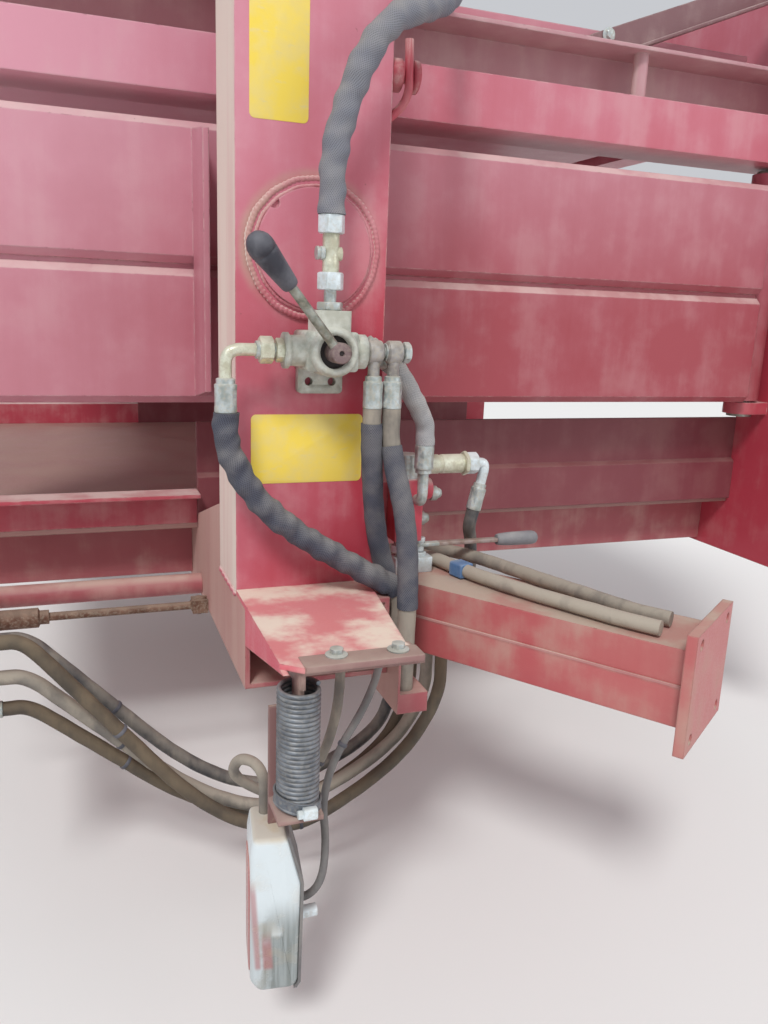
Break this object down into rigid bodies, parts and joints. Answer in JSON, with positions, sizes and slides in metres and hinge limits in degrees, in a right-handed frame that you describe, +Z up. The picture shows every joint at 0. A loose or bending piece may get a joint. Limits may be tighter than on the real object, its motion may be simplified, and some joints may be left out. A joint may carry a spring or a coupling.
{
  "type": "bale chamber pressure frame section",
  "caption": "Steel bale chamber section with a welded arch, hinged pressure doors driven by rams, a hand valve station with hoses, and spring-hung tail lamps.",
  "frame": {"origin": "centre of the front flange's bolt pattern, on its front face, where the section is bolted to the rest of the machine", "axes": "+X to the front of the machine, +Y to its left side, +Z up"},
  "size_m": [1.54, 2.4487, 1.4331],
  "materials": {
    "frame_paint": "faded red paint with dust",
    "door_paint": "faded pinkish red paint with dust",
    "rod_chrome": "polished",
    "bare_steel": "weathered",
    "zinc": "zinc plated, dusty",
    "cast_valve": "grey green plated casting",
    "hose_rubber": "dusty rubber",
    "lamp_housing": "milky plastic",
    "red_lens": "red lens"
  },
  "bodies": {
    "frame": {"arch_top": "frame_paint", "arm": "frame_paint", "arm_hoses": "frame_paint", "block_fittings": "zinc", "branch_hose": "hose_rubber", "bundle_ends": "zinc", "cross_beam": "frame_paint", "draw_rod": "bare_steel", "floor_beams": "frame_paint", "floor_lips": "frame_paint", "floor_plate": "frame_paint", "hinge_frame": "frame_paint", "hinge_pins": "bare_steel", "hose_bundle": "hose_rubber", "hose_clamp": "zinc", "lamp_body_left": "lamp_housing", "lamp_body_right": "lamp_housing", "lamp_cables": "hose_rubber", "lamp_lens_left": "red_lens", "lamp_lens_right": "red_lens", "lamp_mounting_left": "bare_steel", "lamp_mounting_right": "bare_steel", "lamp_shelf_left": "frame_paint", "lamp_shelf_right": "frame_paint", "lamp_spring_left": "bare_steel", "lamp_spring_right": "bare_steel", "left_fitting": "zinc", "left_hose": "hose_rubber", "lower_panel_left": "frame_paint", "lower_panel_right": "frame_paint", "post_hook": "frame_paint", "post_left": "frame_paint", "post_right": "frame_paint", "right_fitting": "zinc", "selector_valve": "cast_valve", "side_ram_left": "frame_paint", "side_ram_right": "frame_paint", "top_channel_left": "frame_paint", "top_channel_right": "frame_paint", "top_fitting": "zinc", "top_hose": "hose_rubber", "top_hose_elbow": "zinc", "top_ram_left": "frame_paint", "top_ram_right": "frame_paint", "under_tubes": "frame_paint", "upper_rail_left": "frame_paint", "upper_rail_right": "frame_paint", "valve_block": "frame_paint", "valve_hose_1": "hose_rubber", "valve_hose_2": "hose_rubber", "valve_hose_3": "hose_rubber"},
    "right_door": {"side_door_right": "door_paint"},
    "left_door": {"side_door_left": "door_paint"},
    "top_door": {"top_door": "door_paint"},
    "right_side_rod": {"side_ram_rod_right": "rod_chrome"},
    "left_side_rod": {"side_ram_rod_left": "rod_chrome"},
    "right_top_rod": {"top_ram_rod_right": "rod_chrome"},
    "left_top_rod": {"top_ram_rod_left": "rod_chrome"},
    "selector_lever": {"selector_lever": "bare_steel"},
    "shutoff_lever": {"shutoff_lever": "zinc"}
  },
  "joints": [
    {"name": "right_door_hinge", "type": "hinge", "parent": "frame", "child": "right_door", "pos_m": [-0.102, -0.65, 0.0465], "axis": [0, 0, -1], "range_deg": [0, 2.5]},
    {"name": "left_door_hinge", "type": "hinge", "parent": "frame", "child": "left_door", "pos_m": [-0.102, 0.65, 0.0465], "axis": [0, 0, 1], "range_deg": [0, 2.5]},
    {"name": "top_door_hinge", "type": "hinge", "parent": "frame", "child": "top_door", "pos_m": [-0.102, 0, 0.411], "axis": [0, -1, 0], "range_deg": [0, 3]},
    {"name": "right_side_ram", "type": "slide", "parent": "frame", "child": "right_side_rod", "axis": [0, 1, 0], "range_m": [0, 0.04007]},
    {"name": "left_side_ram", "type": "slide", "parent": "frame", "child": "left_side_rod", "axis": [0, -1, 0], "range_m": [0, 0.04007]},
    {"name": "right_top_ram", "type": "slide", "parent": "frame", "child": "right_top_rod", "axis": [0, 0, -1], "range_m": [0, 0.04808]},
    {"name": "left_top_ram", "type": "slide", "parent": "frame", "child": "left_top_rod", "axis": [0, 0, -1], "range_m": [0, 0.04808]},
    {"name": "selector_lever_turn", "type": "hinge", "parent": "frame", "child": "selector_lever", "pos_m": [-1.012, -1.0225, -0.05], "axis": [0, 1, 0], "range_deg": [0, 90]},
    {"name": "shutoff_lever_turn", "type": "hinge", "parent": "frame", "child": "shutoff_lever", "pos_m": [-0.851, -0.896, -0.311], "axis": [0, 0, -1], "range_deg": [0, 90]}
  ],
  "couplings": [
    {"joint": "right_side_ram", "follows": "right_door_hinge", "m_per_rad": 0.918},
    {"joint": "left_side_ram", "follows": "left_door_hinge", "m_per_rad": 0.918},
    {"joint": "right_top_ram", "follows": "top_door_hinge", "m_per_rad": 0.918},
    {"joint": "left_top_ram", "follows": "top_door_hinge", "m_per_rad": 0.918}
  ]
}
